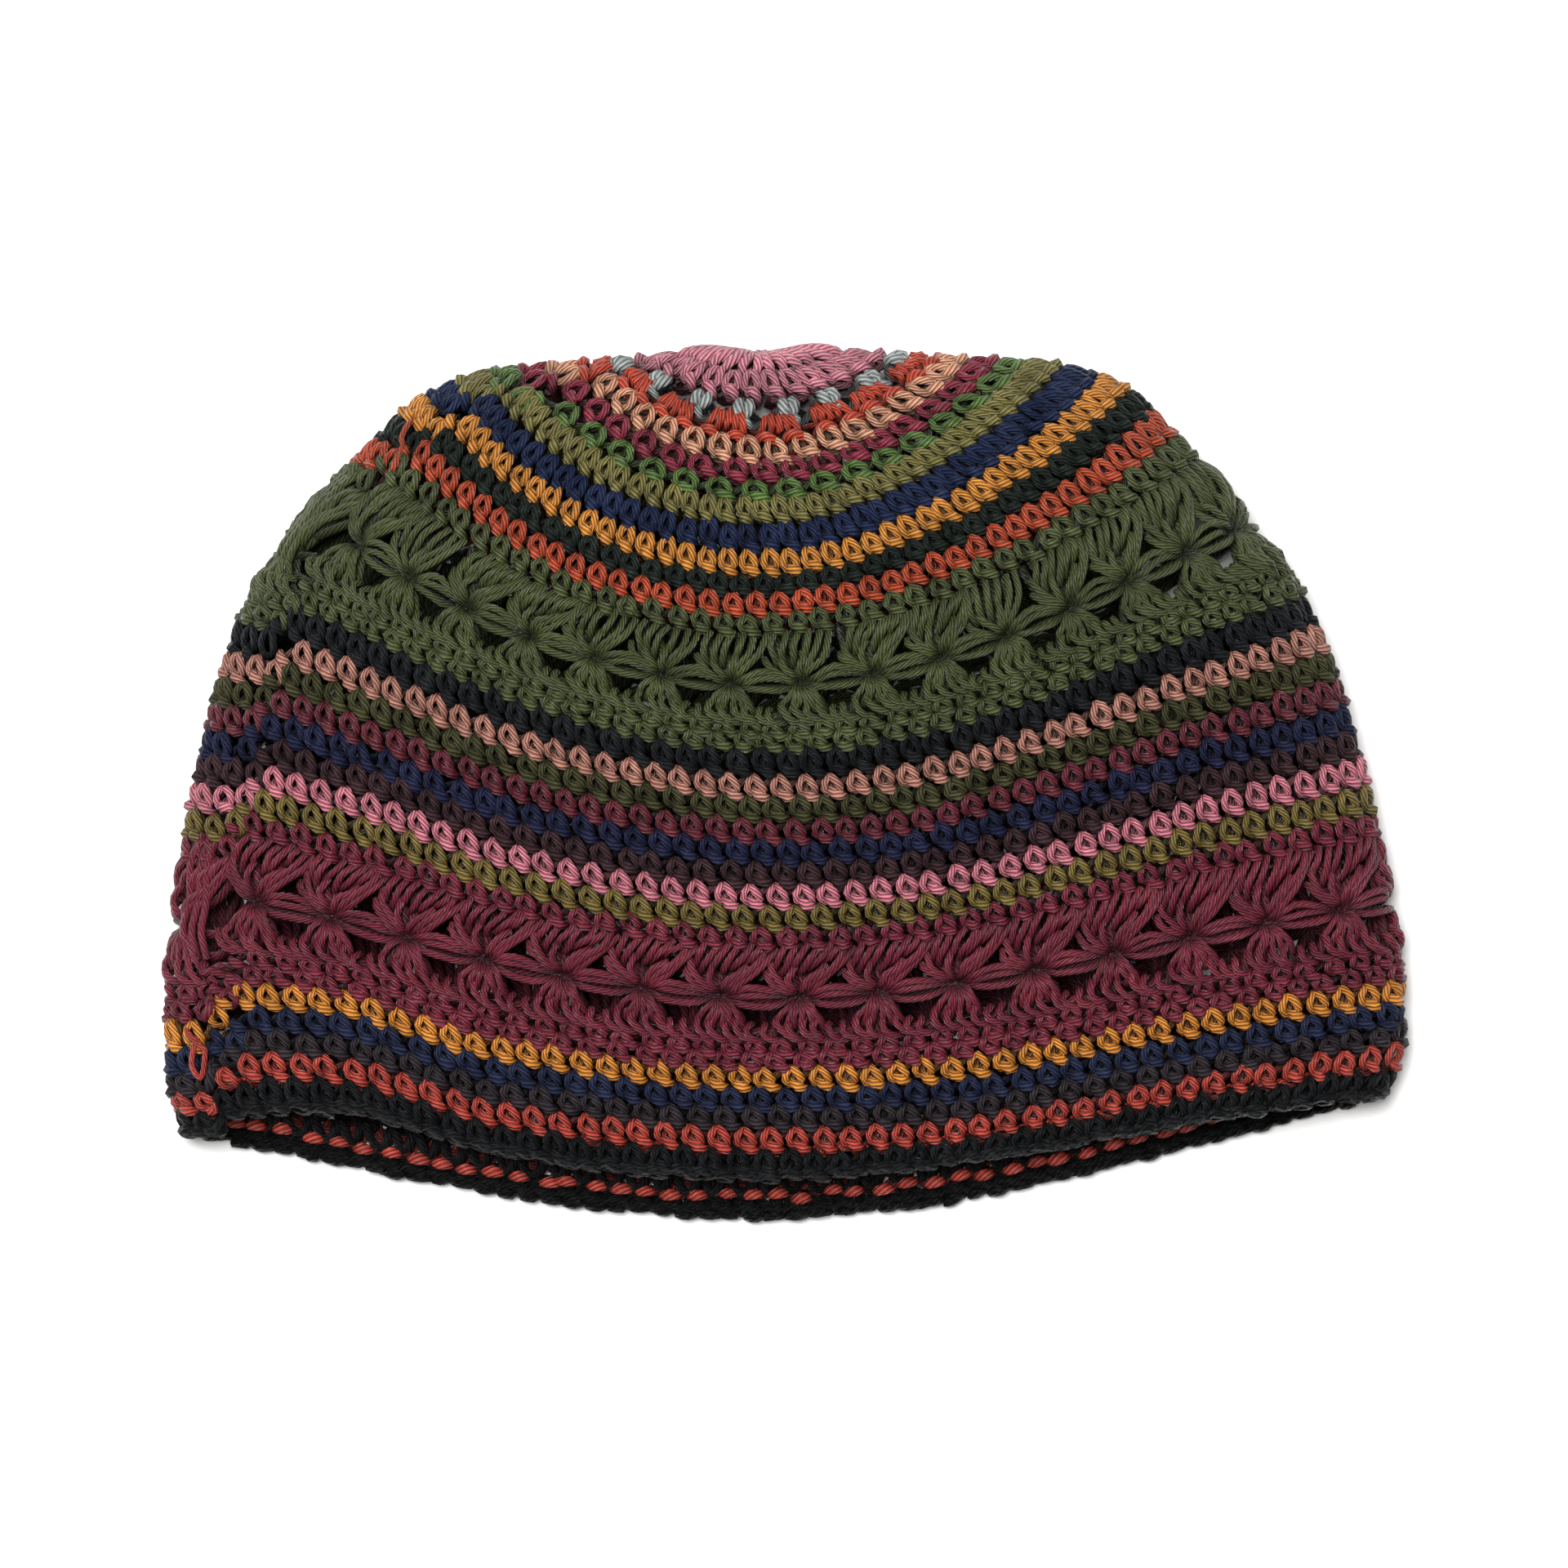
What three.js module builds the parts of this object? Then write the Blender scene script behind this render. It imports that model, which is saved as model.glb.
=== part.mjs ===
// A kufi: a soft skullcap crocheted in one piece from the crown down, in rounds of coloured cotton
// yarn, with two bands of openwork wheels. It lies on its back layer, folded at both sides and at the
// crown, and its upper layer is puffed up over the hollow. Each yarn's rounds are one ring of wall.
// Millimetres; X runs from fold to fold, +Y from the rim to the crown, +Z up from the table.
import * as THREE from "three";

// Driving sizes.
const FLAT_WIDTH = 261; // from fold to fold, at the widest round
const FLAT_LENGTH = 183; // from the crown fold to the back rim
const PUFF_HEIGHT = 40; // rise of the upper layer above the lower one
const CROWN_FOLD_RISE = 12; // how high the crown's centre lies above the lower layer
const SIDE_FOLD_RISE = 7.5; // how high the side folds lie above the lower layer
const SIDE_DROP = 8; // how much further from the crown the rim's left fold lies than its right one
const LOWER_WAVE = 0.5; // how much of the upper layer's wave the lower layer has
const WALL = 3.6; // thickness of the crocheted fabric
const ROUND_GAP = 0.5; // gap between neighbouring rings of yarn
const FACETS = 40; // facets round a plain ring
const SEAM_LIFT = 4; // how far the rim's left side is pushed up into an arch
const WHEELS = 32; // crocheted wheels round each openwork band
const EYELET_WIDTH = 4.6; // an eyelet between two wheels, across
const EYELET_HEIGHT = 2.8; // and along the wall

// The laid-down shape at some of the rounds. Each row is one section:
//   level: share of the way from the crown's centre to the rim
//   halfWidth, shift: half the width, and how far its middle lies aside, as shares of FLAT_WIDTH / 2
//   foldY, frontY: the fold and the middle of the upper layer, as shares of FLAT_LENGTH from the
//     crown fold
//   frontRise: middle of the upper layer, as a share of PUFF_HEIGHT
//   foldRise: height of the fold, from 1 at the crown to 0 for the side fold's own height
//   tilt: how much lower its left fold lies than its right one, as a share of SIDE_DROP
//   wave: how much the round swings down as a wave rather than as a parabola
//   foldTurn: how far across the upper layer rises from its fold, from 0 for a round fold and a
//     flat middle to 1 for an arch all the way across
const SECTIONS = [
  { level: 0.0, halfWidth: 0.0, shift: -0.04, foldY: 0.0, frontY: 0.0, frontRise: 0.3, foldRise: 1.0, tilt: 0.45, wave: 0.0, foldTurn: 1 },
  { level: 0.04, halfWidth: 0.112, shift: -0.038, foldY: 0.001, frontY: 0.018, frontRise: 0.49, foldRise: 0.98, tilt: 0.45, wave: 0.0, foldTurn: 1 },
  { level: 0.064, halfWidth: 0.158, shift: -0.036, foldY: 0.003, frontY: 0.037, frontRise: 0.58, foldRise: 0.96, tilt: 0.45, wave: 0.0, foldTurn: 1 },
  { level: 0.088, halfWidth: 0.2, shift: -0.034, foldY: 0.005, frontY: 0.058, frontRise: 0.65, foldRise: 0.93, tilt: 0.45, wave: 0.0, foldTurn: 1 },
  { level: 0.151, halfWidth: 0.296, shift: -0.03, foldY: 0.01, frontY: 0.117, frontRise: 0.79, foldRise: 0.84, tilt: 0.45, wave: 0.0, foldTurn: 1 },
  { level: 0.231, halfWidth: 0.456, shift: -0.024, foldY: 0.018, frontY: 0.191, frontRise: 0.9, foldRise: 0.66, tilt: 0.45, wave: 0.0, foldTurn: 1 },
  { level: 0.284, halfWidth: 0.566, shift: -0.02, foldY: 0.045, frontY: 0.247, frontRise: 0.95, foldRise: 0.48, tilt: 0.45, wave: 0.03, foldTurn: 1 },
  { level: 0.334, halfWidth: 0.648, shift: -0.022, foldY: 0.098, frontY: 0.293, frontRise: 0.985, foldRise: 0.3, tilt: 0.45, wave: 0.08, foldTurn: 1 },
  { level: 0.42, halfWidth: 0.775, shift: -0.025, foldY: 0.196, frontY: 0.377, frontRise: 1.0, foldRise: 0.14, tilt: 0.45, wave: 0.2, foldTurn: 1 },
  { level: 0.528, halfWidth: 0.875, shift: -0.018, foldY: 0.318, frontY: 0.483, frontRise: 0.89, foldRise: 0.04, tilt: 0.45, wave: 0.5, foldTurn: 0.95 },
  { level: 0.703, halfWidth: 0.957, shift: -0.01, foldY: 0.53, frontY: 0.661, frontRise: 0.655, foldRise: 0.0, tilt: 0.45, wave: 0.5, foldTurn: 0.7 },
  { level: 0.842, halfWidth: 0.996, shift: -0.003, foldY: 0.706, frontY: 0.796, frontRise: 0.47, foldRise: 0.0, tilt: 0.45, wave: 0.62, foldTurn: 0.35 },
  { level: 0.92, halfWidth: 1.0, shift: -0.001, foldY: 0.804, frontY: 0.874, frontRise: 0.38, foldRise: -0.2, tilt: 0.6, wave: 0.7, foldTurn: 0.2 },
  { level: 1.0, halfWidth: 0.972, shift: -0.004, foldY: 0.882, frontY: 0.953, frontRise: 0.33, foldRise: -0.3, tilt: 1.0, wave: 0.75, foldTurn: 0.12 },
];

// The rings of yarn, from the crown's centre to the rim. Each row is one ring:
//   rounds: its height, counted in rounds of single crochet
//   colour: the yarn's colour
const RINGS = [
  { name: "rose_crown_center", rounds: 2.6, colour: 0xb5606f },
  { name: "grey_round", rounds: 0.9, colour: 0x8b9a9e },
  { name: "vermilion_round", rounds: 1.3, colour: 0xc2371f },
  { name: "peach_round", rounds: 1.2, colour: 0xd69a76 },
  { name: "wine_crown_round", rounds: 1, colour: 0x84203a },
  { name: "leaf_green_round", rounds: 1, colour: 0x4f7a2f },
  { name: "khaki_round", rounds: 1.2, colour: 0x7c7630 },
  { name: "navy_crown_round", rounds: 1.1, colour: 0x1d2950 },
  { name: "gold_crown_round", rounds: 1, colour: 0xcf8420 },
  { name: "bottle_green_round", rounds: 1, colour: 0x14211d },
  { name: "orange_round", rounds: 1, colour: 0xcd4b22 },
  { name: "green_wheel_band", rounds: 6.5, colour: 0x3d4722, wheels: true },
  { name: "black_round", rounds: 1.2, colour: 0x15171c },
  { name: "salmon_round", rounds: 1, colour: 0xc27d66 },
  { name: "moss_round", rounds: 1, colour: 0x3c4a26 },
  { name: "wine_side_round", rounds: 1, colour: 0x6f2132 },
  { name: "navy_side_round", rounds: 1, colour: 0x1a2440 },
  { name: "brown_round", rounds: 1, colour: 0x3b2c2b },
  { name: "pink_round", rounds: 1, colour: 0xc4697a },
  { name: "olive_round", rounds: 1, colour: 0x6c6a22 },
  { name: "wine_wheel_band", rounds: 6.6, colour: 0x6a2130, wheels: true },
  { name: "gold_rim_round", rounds: 1, colour: 0xc98222 },
  { name: "navy_rim_round", rounds: 1, colour: 0x1a2240 },
  { name: "charcoal_round", rounds: 1, colour: 0x2b2729 },
  { name: "red_rim_round", rounds: 1, colour: 0xc23f2c },
  { name: "black_rim_edge", rounds: 1.2, colour: 0x101216 },
];

// Rows of a wheel band, as shares of its height: where its eyelets begin and end is worked out from
// the height of the wheels' upper and lower halves.
const UPPER_EYELET_AT = 0.33;
const LOWER_EYELET_AT = 0.62;
const EYELET_SLANT = 0.08; // how far an eyelet leans, as a share of the pitch of the wheels

const COTTON_ROUGHNESS = 0.75;
const STEP = 1e-3; // step in level and turn for slopes

// Value of one column of the section table at a level, on a smooth curve through the rows that
// never swings past them.
function sectionValue(column, level) {
  const clamped = Math.min(Math.max(level, 0), 1);
  let i = 0;
  while (i < SECTIONS.length - 2 && SECTIONS[i + 1].level < clamped) i += 1;
  const steepness = (k) => {
    const [a, b] = [SECTIONS[k], SECTIONS[k + 1]];
    return (b[column] - a[column]) / (b.level - a.level);
  };
  const slopeAt = (k) => {
    const before = steepness(Math.max(k - 1, 0));
    const after = steepness(Math.min(k, SECTIONS.length - 2));
    return before * after > 0 ? (2 * before * after) / (before + after) : 0;
  };
  const [a, b] = [SECTIONS[i], SECTIONS[i + 1]];
  const span = b.level - a.level;
  const u = (clamped - a.level) / span;
  const share = u * u * (3 - 2 * u);
  const swing = slopeAt(i) * (1 - u) - slopeAt(i + 1) * u;
  return a[column] * (1 - share) + b[column] * share + span * swing * u * (1 - u);
}

// Middle of the lower layer at a level: a quarter round from the crown's centre down, then flat.
const LOWER_LENGTH = FLAT_LENGTH + (Math.PI / 2 - 1) * CROWN_FOLD_RISE;
function lowerMiddle(level) {
  const run = level * LOWER_LENGTH;
  const angle = Math.min(run / CROWN_FOLD_RISE, Math.PI / 2);
  const flatRun = run - angle * CROWN_FOLD_RISE;
  return {
    y: -CROWN_FOLD_RISE * (1 - Math.cos(angle)) - flatRun,
    z: CROWN_FOLD_RISE * (1 - Math.sin(angle)),
  };
}

// One layer of a round, as a curve in the middle of the wall: the upper layer runs from the right
// fold to the left one, the lower layer back to the right fold.
class LayerCurve extends THREE.Curve {
  constructor(level, upper) {
    super();
    this.upper = upper;
    this.at = Object.fromEntries(
      Object.keys(SECTIONS[0]).map((column) => [column, sectionValue(column, level)]),
    );
  }

  getPoint(share, target = new THREE.Vector3()) {
    const { level, halfWidth, shift, foldY, frontY, frontRise, foldRise, foldTurn, tilt } = this.at;
    const wave = this.at.wave * (this.upper ? 1 : LOWER_WAVE);
    const across = Math.cos(Math.PI * share) * (this.upper ? 1 : -1);
    const half = (halfWidth * FLAT_WIDTH) / 2;
    const foldZ = THREE.MathUtils.lerp(SIDE_FOLD_RISE, CROWN_FOLD_RISE, foldRise);
    const middle = this.upper
      ? { y: -FLAT_LENGTH * frontY, z: PUFF_HEIGHT * frontRise }
      : lowerMiddle(level);
    const radius = Math.min(half, foldZ);
    const turn = this.upper ? THREE.MathUtils.lerp(radius, half, foldTurn) : radius;
    const fromFold = turn > 0 ? Math.min(((1 - Math.abs(across)) * half) / turn, 1) : 1;
    const risen = Math.sqrt(1 - (1 - fromFold) ** 2);
    const dip = (1 - wave) * across ** 2 + (wave * (1 - Math.cos(Math.PI * across))) / 2;
    const arch = this.upper ? SEAM_LIFT * archAt(across, level) : 0;
    const aside = across * half;
    const drop = (tilt * SIDE_DROP * aside) / FLAT_WIDTH;
    return target.set(
      (shift * FLAT_WIDTH) / 2 + aside,
      THREE.MathUtils.lerp(middle.y, -FLAT_LENGTH * foldY, dip) + drop + arch,
      THREE.MathUtils.lerp(foldZ, middle.z, risen) + arch + WALL / 2,
    );
  }
}

// The arch that the rim's left side is pushed up into, from 0 to 1.
const ARCH_AT = -0.72;
const ARCH_HALF_WIDTH = 0.26;
const ARCH_FROM_LEVEL = 0.68;
function archAt(across, level) {
  const aside = (across - ARCH_AT) / ARCH_HALF_WIDTH;
  const risen = THREE.MathUtils.smoothstep(level, ARCH_FROM_LEVEL, 1);
  return Math.abs(aside) < 1 ? risen * Math.cos((aside * Math.PI) / 2) ** 2 : 0;
}

// Middle of the wall at a turn (0 at the right fold, 0.5 at the left one) and a level.
const layerCurves = new Map();
function layerCurve(level, upper) {
  const key = `${level.toFixed(7)} ${upper}`;
  if (!layerCurves.has(key)) layerCurves.set(key, new LayerCurve(level, upper));
  return layerCurves.get(key);
}
function middlePoint(turn, level) {
  const wrapped = turn - Math.floor(turn);
  const upper = wrapped < 0.5;
  return layerCurve(level, upper).getPointAt(upper ? 2 * wrapped : 2 * wrapped - 1);
}

// Outer and inner point of the wall at a turn and a level.
function wallPoints(turn, level) {
  const middle = middlePoint(turn, level);
  const along = middlePoint(turn + STEP, level).sub(middlePoint(turn - STEP, level));
  const down = middlePoint(turn, Math.min(level + STEP, 1)).sub(middlePoint(turn, Math.max(level - STEP, STEP)));
  const outward = along.cross(down).negate().normalize().multiplyScalar(WALL / 2);
  return { outer: middle.clone().add(outward), inner: middle.clone().sub(outward) };
}

// Collects corners and faces of one closed wall.
class WallBuilder {
  constructor() {
    this.corners = [];
    this.faces = [];
  }

  add(point) {
    this.corners.push(point.x, point.y, point.z);
    return this.corners.length / 3 - 1;
  }

  quad(a, b, c, d) {
    this.faces.push(a, b, c, a, c, d);
  }

  geometry() {
    const made = new THREE.BufferGeometry();
    made.setAttribute("position", new THREE.Float32BufferAttribute(this.corners, 3));
    made.setIndex(this.faces);
    const flat = made.toNonIndexed();
    flat.computeVertexNormals();
    return flat;
  }
}

// A ring of wall between rows of levels. Where both its row and its column are open, a cell is an
// eyelet that goes right through.
function ringGeometry(rows, columns) {
  const wall = new WallBuilder();
  const grid = rows.map((row) =>
    columns.map((column) => {
      const { outer, inner } = wallPoints(column.turn + (row.lean ?? 0), row.level);
      return { outer: wall.add(outer), inner: wall.add(inner) };
    }),
  );
  const isOpen = (j, i) => j < 0 || j >= rows.length - 1 || (rows[j].open && columns[i].open);
  for (let j = 0; j < rows.length - 1; j += 1) {
    for (let i = 0; i < columns.length; i += 1) {
      if (isOpen(j, i)) continue;
      const next = (i + 1) % columns.length;
      const previous = (i + columns.length - 1) % columns.length;
      const [a, b, c, d] = [grid[j][i], grid[j][next], grid[j + 1][next], grid[j + 1][i]];
      wall.quad(a.outer, d.outer, c.outer, b.outer);
      wall.quad(a.inner, b.inner, c.inner, d.inner);
      if (isOpen(j - 1, i)) wall.quad(b.outer, b.inner, a.inner, a.outer);
      if (isOpen(j + 1, i)) wall.quad(d.inner, c.inner, c.outer, d.outer);
      if (isOpen(j, previous)) wall.quad(a.inner, d.inner, d.outer, a.outer);
      if (isOpen(j, next)) wall.quad(b.outer, c.outer, c.inner, b.inner);
    }
  }
  return wall.geometry();
}

// The closed disc at the crown's centre.
function crownGeometry(rows, columns) {
  const wall = new WallBuilder();
  const centre = middlePoint(0, 0);
  const poleOuter = wall.add(centre.clone().add(new THREE.Vector3(0, WALL / 2, 0)));
  const poleInner = wall.add(centre.clone().sub(new THREE.Vector3(0, WALL / 2, 0)));
  const grid = rows.map((row) =>
    columns.map((column) => {
      const { outer, inner } = wallPoints(column.turn, row.level);
      return { outer: wall.add(outer), inner: wall.add(inner) };
    }),
  );
  for (let i = 0; i < columns.length; i += 1) {
    const next = (i + 1) % columns.length;
    wall.faces.push(poleOuter, grid[0][i].outer, grid[0][next].outer);
    wall.faces.push(poleInner, grid[0][next].inner, grid[0][i].inner);
    for (let j = 0; j < rows.length - 1; j += 1) {
      const [a, b, c, d] = [grid[j][i], grid[j][next], grid[j + 1][next], grid[j + 1][i]];
      wall.quad(a.outer, d.outer, c.outer, b.outer);
      wall.quad(a.inner, b.inner, c.inner, d.inner);
    }
    const [c, d] = [grid.at(-1)[next], grid.at(-1)[i]];
    wall.quad(d.inner, c.inner, c.outer, d.outer);
  }
  return wall.geometry();
}

// Columns of a plain ring, closer together at the folds.
function plainColumns(count) {
  const crowding = 0.55;
  return Array.from({ length: count }, (_, i) => {
    const even = i / count;
    return { turn: even - (crowding * Math.sin(4 * Math.PI * even)) / (4 * Math.PI) };
  });
}

// Columns of a wheel band: for each wheel one eyelet, then two facets of wall.
function wheelColumns(eyeletShare) {
  const columns = [];
  for (let wheel = 0; wheel < WHEELS; wheel += 1) {
    columns.push({ turn: (wheel - eyeletShare / 2) / WHEELS, open: true });
    columns.push({ turn: (wheel + eyeletShare / 2) / WHEELS });
    columns.push({ turn: (wheel + 0.5) / WHEELS });
  }
  return columns;
}

// Rows of a wheel band, from its top level to its bottom one, with rows of eyelets.
function wheelRows(top, bottom, eyelets) {
  const height = bottom - top;
  const tall = EYELET_HEIGHT / (FLAT_LENGTH * 1.08);
  const lean = EYELET_SLANT / WHEELS;
  const rows = [{ level: top }];
  for (const { share, side } of eyelets) {
    const middle = top + share * height;
    rows.push({ level: middle - tall / 2, open: true, lean: -lean * side });
    rows.push({ level: middle + tall / 2, lean: lean * side });
  }
  rows.push({ level: bottom });
  return rows;
}

const totalRounds = RINGS.reduce((sum, ring) => sum + ring.rounds, 0);
const gapLevel = ROUND_GAP / (FLAT_LENGTH * 1.02);
const cap = new THREE.Group();
let roundsDone = 0;
for (const ring of RINGS) {
  const top = roundsDone / totalRounds + gapLevel / 2;
  roundsDone += ring.rounds;
  const bottom = roundsDone / totalRounds - (roundsDone < totalRounds ? gapLevel / 2 : 0);
  let geometry;
  if (ring.wheels) {
    const width = 2 * middlePoint(0, (top + bottom) / 2).distanceTo(middlePoint(0.5, (top + bottom) / 2));
    const eyeletShare = (EYELET_WIDTH * WHEELS) / (width * 1.06);
    const eyelets = [{ share: LOWER_EYELET_AT, side: 1 }];
    if (ring.name === "wine_wheel_band") eyelets.unshift({ share: UPPER_EYELET_AT, side: 1 });
    geometry = ringGeometry(wheelRows(top, bottom, eyelets), wheelColumns(eyeletShare));
  } else if (roundsDone === ring.rounds) {
    const rows = [0.2, 0.5, 1].map((share) => ({ level: bottom * share }));
    geometry = crownGeometry(rows, plainColumns(FACETS));
  } else {
    geometry = ringGeometry([{ level: top }, { level: bottom }], plainColumns(FACETS));
  }
  const cotton = new THREE.MeshStandardMaterial({
    color: ring.colour,
    roughness: COTTON_ROUGHNESS,
    metalness: 0,
    name: ring.name,
  });
  const mesh = new THREE.Mesh(geometry, cotton);
  mesh.name = ring.name;
  cap.add(mesh);
}

// The origin is on the table, under the middle of the cap.
const bounds = new THREE.Box3().setFromObject(cap, true);
const middle = bounds.getCenter(new THREE.Vector3());
for (const mesh of cap.children) mesh.position.set(-middle.x, -middle.y, -bounds.min.z);

export default cap;
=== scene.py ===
"""A crocheted kufi cap, lying on its back layer on a pale table top.

It is worked in one piece from the crown down, in rounds of coloured cotton yarn, so each piece here
is a length of yarn laid stitch by stitch. Yarn sizes are in millimetres and the model is in metres.
"""
import math
import bpy
import numpy as np
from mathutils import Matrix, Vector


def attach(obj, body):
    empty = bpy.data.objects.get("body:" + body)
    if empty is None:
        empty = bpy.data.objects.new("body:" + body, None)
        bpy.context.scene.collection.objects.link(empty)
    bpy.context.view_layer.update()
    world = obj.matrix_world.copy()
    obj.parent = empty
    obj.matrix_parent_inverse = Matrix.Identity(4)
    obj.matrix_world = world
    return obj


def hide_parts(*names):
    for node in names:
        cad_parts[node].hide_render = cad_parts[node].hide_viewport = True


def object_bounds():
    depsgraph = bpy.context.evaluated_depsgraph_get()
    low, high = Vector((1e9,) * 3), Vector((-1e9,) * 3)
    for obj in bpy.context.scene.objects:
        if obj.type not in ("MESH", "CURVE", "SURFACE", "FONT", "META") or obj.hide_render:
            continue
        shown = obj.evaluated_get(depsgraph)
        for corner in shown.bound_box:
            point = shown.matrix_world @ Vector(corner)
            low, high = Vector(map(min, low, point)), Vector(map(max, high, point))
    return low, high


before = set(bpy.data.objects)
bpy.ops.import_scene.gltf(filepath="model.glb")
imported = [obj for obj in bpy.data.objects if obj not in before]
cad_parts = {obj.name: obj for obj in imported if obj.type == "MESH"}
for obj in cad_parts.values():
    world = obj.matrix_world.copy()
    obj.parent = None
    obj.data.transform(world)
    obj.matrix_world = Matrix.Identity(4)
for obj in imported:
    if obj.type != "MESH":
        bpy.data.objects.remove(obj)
cad_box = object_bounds()


# ------------------------------------------------------------------ Table top, daylight and camera
# The cap lies on a plain, nearly white, matt laminate top. The light is soft daylight from a large
# window high on the left, with the room's own light from all sides. The camera looks straight down.

def linear(hex_colour):
    """The linear colour of an sRGB hex value."""
    parts = [int(hex_colour[i:i + 2], 16) / 255 for i in (0, 2, 4)]
    return [c / 12.92 if c <= 0.04045 else ((c + 0.055) / 1.055) ** 2.4 for c in parts] + [1]


def add_node(tree, kind, inputs=None, **settings):
    """Adds a node with its settings; inputs are plain values or the sockets that feed them."""
    node = tree.nodes.new(kind)
    for key, value in settings.items():
        setattr(node, key, value)
    for key, value in (inputs or {}).items():
        if isinstance(value, bpy.types.NodeSocket):
            tree.links.new(value, node.inputs[key])
        else:
            node.inputs[key].default_value = value
    return node


def new_material(name):
    """An empty material and its node tree."""
    material = bpy.data.materials.new(name)
    material.use_nodes = True
    material.node_tree.nodes.clear()
    return material, material.node_tree


bpy.ops.object.select_all(action="DESELECT")
bpy.ops.mesh.primitive_plane_add(size=8, location=(0, 0, 0))
table_top = bpy.context.object
table_top.name = "table_top"
# Matt laminate: an even, nearly white skin with a faint grain of 2 mm in its roughness.
laminate, tree = new_material("matt white laminate")
place = add_node(tree, "ShaderNodeTexCoord")
grain = add_node(tree, "ShaderNodeTexNoise", {"Vector": place.outputs["Object"], "Scale": 500.0})
matt = add_node(tree, "ShaderNodeMapRange", {
    "Value": grain.outputs["Fac"], "To Min": 0.75, "To Max": 0.9})
skin = add_node(tree, "ShaderNodeBsdfPrincipled", {
    "Base Color": linear("f6f5f3"), "Roughness": matt.outputs["Result"],
    "Specular IOR Level": 0.25})
add_node(tree, "ShaderNodeOutputMaterial", {"Surface": skin.outputs["BSDF"]})
table_top.data.materials.append(laminate)

# Each light: its name, its place and size in metres, and its power in watts.
for name, spot, across, watts in (
    ("window", (-0.35, 0.5, 2.2), 1.1, 82),
    ("ceiling", (0.3, -0.4, 2.4), 2.2, 12),
):
    light = bpy.data.lights.new(name, "AREA")
    light.size, light.energy = across, watts
    lamp = bpy.data.objects.new(name, light)
    bpy.context.collection.objects.link(lamp)
    lamp.location = spot
    lamp.rotation_euler = (-lamp.location).to_track_quat("-Z", "Y").to_euler()
room = bpy.data.worlds.new("room")
room.use_nodes = True
room.node_tree.nodes["Background"].inputs["Color"].default_value = linear("f4f6fa")
room.node_tree.nodes["Background"].inputs["Strength"].default_value = 0.1
bpy.context.scene.world = room
bpy.context.scene.view_settings.view_transform = "Standard"

# The picture is 336 mm wide on the table, seen from 1.6 m straight above.
CAMERA_HEIGHT, PICTURE_WIDTH, SENSOR_WIDTH = 1.6, 0.336, 36
camera = bpy.data.objects.new("camera", bpy.data.cameras.new("camera"))
bpy.context.collection.objects.link(camera)
camera.location = (-0.00026, 0, CAMERA_HEIGHT)
camera.data.sensor_width = SENSOR_WIDTH
camera.data.lens = SENSOR_WIDTH * CAMERA_HEIGHT / PICTURE_WIDTH
bpy.context.scene.camera = camera


# ---------------------------------------------------------------------- Plain rounds of crochet
# Most of the cap is single crochet in cotton yarn, a round or so in each colour. Every stitch is a
# slanted arch hooked into the one above, with the plump strand of its top loop under it.

# Sizes of the cap as it lies, in mm, to the middle of the wall.
HALF_WIDTH = 130.5  # from its middle to a side fold
LENGTH = 183  # from the crown's fold to the rim
PUFF = 40  # how high the upper layer rises
CROWN_FOLD = 12  # radius of the bend at the crown's fold
LOW_FOLD, HIGH_FOLD = 7.5, 12.0  # height of a side fold near the rim, and near the crown
TILT = 4  # how far a side fold lies off the line of its round's middle, where the tilt is 1
LIFT = 4  # how high the front rim is lifted near its left end

# How the cap lies, as one row of numbers for some of the rounds: share of the way from the crown's
# centre to the rim, half width and shift of its middle (of HALF_WIDTH), how far the fold and the
# upper layer's middle lie from the crown's fold (of LENGTH), the middle's rise (of PUFF), the
# fold's rise, its tilt, the swing of the round, and how far in the upper layer rises from its fold.
LAY = np.array([
    (0.0, 0.0, -0.04, 0.0, 0.0, 0.3, 1.0, 0.45, 0.0, 1),
    (0.04, 0.112, -0.038, 0.001, 0.018, 0.49, 0.98, 0.45, 0.0, 1),
    (0.064, 0.158, -0.036, 0.003, 0.037, 0.58, 0.96, 0.45, 0.0, 1),
    (0.088, 0.2, -0.034, 0.005, 0.058, 0.65, 0.93, 0.45, 0.0, 1),
    (0.151, 0.296, -0.03, 0.01, 0.117, 0.79, 0.84, 0.45, 0.0, 1),
    (0.231, 0.456, -0.024, 0.018, 0.191, 0.9, 0.66, 0.45, 0.0, 1),
    (0.284, 0.566, -0.02, 0.045, 0.247, 0.95, 0.48, 0.45, 0.03, 1),
    (0.334, 0.648, -0.022, 0.098, 0.293, 0.985, 0.3, 0.45, 0.08, 1),
    (0.42, 0.775, -0.025, 0.196, 0.377, 1.0, 0.14, 0.45, 0.2, 1),
    (0.528, 0.875, -0.018, 0.318, 0.483, 0.89, 0.04, 0.45, 0.5, 0.95),
    (0.703, 0.957, -0.01, 0.53, 0.661, 0.655, 0.0, 0.45, 0.5, 0.7),
    (0.842, 0.996, -0.003, 0.706, 0.796, 0.47, 0.0, 0.45, 0.62, 0.35),
    (0.92, 1.0, -0.001, 0.804, 0.874, 0.38, -0.2, 0.6, 0.7, 0.2),
    (1.0, 0.972, -0.004, 0.882, 0.953, 0.33, -0.3, 1.0, 0.75, 0.12),
])
ROUNDS = 39.8  # rounds of single crochet from the crown's centre to the rim
SEAM = 0.48  # where the rounds start and end, as a turn from the right fold over the upper layer
WALL = 3.6  # thickness of the crocheted wall
UPPER, LOWER = 0, 1


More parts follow.
